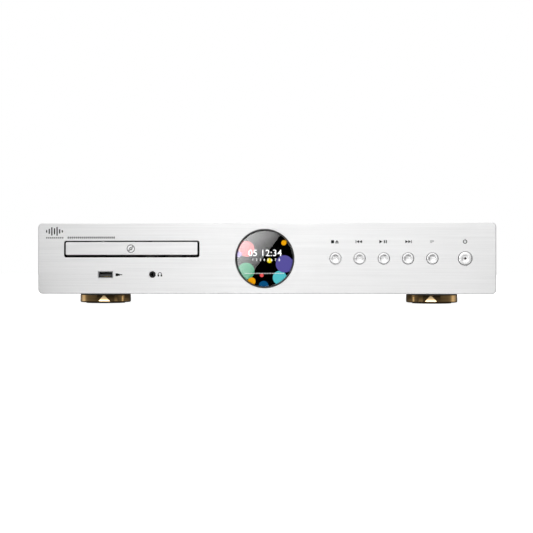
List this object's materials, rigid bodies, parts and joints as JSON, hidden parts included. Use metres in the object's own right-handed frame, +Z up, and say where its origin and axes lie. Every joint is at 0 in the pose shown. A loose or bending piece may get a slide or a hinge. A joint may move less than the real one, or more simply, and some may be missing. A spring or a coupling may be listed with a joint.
{
  "type": "CD player",
  "caption": "Slim full-width hi-fi CD player with a motorised disc drawer, round glass display, push buttons and round metal feet.",
  "frame": {"origin": "on the table under the middle of the case", "axes": "+X to the right seen from the front, +Y to the back, +Z up; the drawer opens towards -Y"},
  "size_m": [0.43, 0.3, 0.0765],
  "materials": {
    "brushed_aluminium": "fine horizontal brushing, clear anodised",
    "cover_paint": "satin silver powder coat",
    "zinc_steel": "zinc plated, satin",
    "gold_metal": "mirror turned, gold anodised",
    "rubber": "matte",
    "dark_ring": "satin charcoal anodised",
    "clear_glass": "polished, smoked",
    "black_plastic": "matte",
    "grey_plastic": "fine matte texture",
    "white_plastic": "smooth matte",
    "circuit_board": "solder resist, satin",
    "winding_tape": "glossy polyester tape",
    "gold_plate": "gold plated",
    "lens_glass": "coated, glossy"
  },
  "bodies": {
    "chassis": {"front_panel": "brushed_aluminium", "base_pan": "zinc_steel", "rear_panel": "cover_paint", "top_cover": "cover_paint", "display_bezel": "dark_ring", "display_glass": "clear_glass", "display_module": "black_plastic", "control_board": "circuit_board", "usb_socket": "zinc_steel", "usb_tongue": "black_plastic", "headphone_jack": "black_plastic", "loader_frame": "black_plastic", "clamp_bridge": "zinc_steel", "loading_motor": "zinc_steel", "drive_belt": "rubber", "transformer_core": "winding_tape", "main_board": "circuit_board", "reservoir_capacitor_left": "black_plastic", "reservoir_capacitor_right": "black_plastic", "heat_sink": "black_plastic", "mains_inlet": "black_plastic", "inlet_blades": "zinc_steel", "rca_socket_left": "gold_plate", "rca_socket_right": "gold_plate", "coaxial_socket": "gold_plate", "optical_socket": "black_plastic", "foot_front_left": "gold_metal", "foot_pad_front_left": "rubber", "cover_screw_front_left": "zinc_steel", "foot_front_right": "gold_metal", "foot_pad_front_right": "rubber", "cover_screw_front_right": "zinc_steel", "foot_rear_left": "gold_metal", "foot_pad_rear_left": "rubber", "cover_screw_rear_left": "zinc_steel", "foot_rear_right": "gold_metal", "foot_pad_rear_right": "rubber", "cover_screw_rear_right": "zinc_steel"},
    "tray": {"disc_tray": "grey_plastic", "tray_door": "brushed_aluminium"},
    "clamp": {"clamp_puck": "black_plastic"},
    "motor_pulley": {"motor_pulley": "white_plastic"},
    "pulley_gear": {"pulley_gear": "white_plastic"},
    "tray_gear": {"tray_gear": "white_plastic"},
    "cradle": {"cradle_plate": "zinc_steel", "spindle_motor": "zinc_steel", "guide_rod_left": "zinc_steel", "guide_rod_right": "zinc_steel", "sled_motor": "zinc_steel"},
    "turntable": {"turntable": "black_plastic"},
    "sled": {"pickup_body": "black_plastic", "lens": "lens_glass"},
    "sled_gear": {"sled_gear": "white_plastic"},
    "stop_button": {"stop_button": "brushed_aluminium"},
    "previous_button": {"previous_button": "brushed_aluminium"},
    "play_button": {"play_button": "brushed_aluminium"},
    "next_button": {"next_button": "brushed_aluminium"},
    "source_button": {"source_button": "brushed_aluminium"},
    "power_button": {"power_button": "brushed_aluminium", "power_light": "black_plastic"}
  },
  "joints": [
    {"name": "tray_slide", "type": "slide", "parent": "chassis", "child": "tray", "axis": [0, -1, 0], "range_m": [0, 0.132]},
    {"name": "tray_gear_spin", "type": "hinge", "parent": "chassis", "child": "tray_gear", "pos_m": [-0.08, -0.117, 0.048], "axis": [0, 0, 1], "range_deg": [-845, 1]},
    {"name": "pulley_gear_spin", "type": "hinge", "parent": "chassis", "child": "pulley_gear", "pos_m": [-0.08825, -0.10271, 0.046], "axis": [0, 0, 1], "range_deg": [-1, 1013]},
    {"name": "motor_pulley_spin", "type": "hinge", "parent": "chassis", "child": "motor_pulley", "pos_m": [-0.114, -0.112, 0.0444], "axis": [0, 0, 1], "range_deg": [-1, 3720]},
    {"name": "clamp_spin", "type": "hinge", "parent": "chassis", "child": "clamp", "pos_m": [-0.126, -0.08, 0.06], "axis": [0, 0, 1], "continuous": true},
    {"name": "cradle_lift", "type": "hinge", "parent": "chassis", "child": "cradle", "pos_m": [-0.126, 0.01, 0.042], "axis": [-1, 0, 0], "range_deg": [0, 6]},
    {"name": "turntable_spin", "type": "hinge", "parent": "cradle", "child": "turntable", "pos_m": [-0.126, -0.08076, 0.04453], "axis": [0, -0.1045, 0.9945], "continuous": true},
    {"name": "sled_slide", "type": "slide", "parent": "cradle", "child": "sled", "axis": [0, 0.9945, 0.1045], "range_m": [0, 0.035]},
    {"name": "sled_gear_spin", "type": "hinge", "parent": "cradle", "child": "sled_gear", "pos_m": [-0.0986, -0.03993, 0.03876], "axis": [0, -0.1045, 0.9945], "range_deg": [-318, 1]},
    {"name": "stop_press", "type": "slide", "parent": "chassis", "child": "stop_button", "axis": [0, 1, 0], "range_m": [0, 0.001], "stiffness_N_per_m": 1200},
    {"name": "previous_press", "type": "slide", "parent": "chassis", "child": "previous_button", "axis": [0, 1, 0], "range_m": [0, 0.001], "stiffness_N_per_m": 1200},
    {"name": "play_press", "type": "slide", "parent": "chassis", "child": "play_button", "axis": [0, 1, 0], "range_m": [0, 0.001], "stiffness_N_per_m": 1200},
    {"name": "next_press", "type": "slide", "parent": "chassis", "child": "next_button", "axis": [0, 1, 0], "range_m": [0, 0.001], "stiffness_N_per_m": 1200},
    {"name": "source_press", "type": "slide", "parent": "chassis", "child": "source_button", "axis": [0, 1, 0], "range_m": [0, 0.001], "stiffness_N_per_m": 1200},
    {"name": "power_press", "type": "slide", "parent": "chassis", "child": "power_button", "axis": [0, 1, 0], "range_m": [0, 0.001], "stiffness_N_per_m": 1200}
  ],
  "couplings": [
    {"joint": "tray_gear_spin", "follows": "tray_slide", "rad_per_m": -111.11},
    {"joint": "pulley_gear_spin", "follows": "tray_slide", "rad_per_m": 133.33},
    {"joint": "motor_pulley_spin", "follows": "tray_slide", "rad_per_m": 487.56},
    {"joint": "sled_gear_spin", "follows": "sled_slide", "rad_per_m": -156.25}
  ]
}
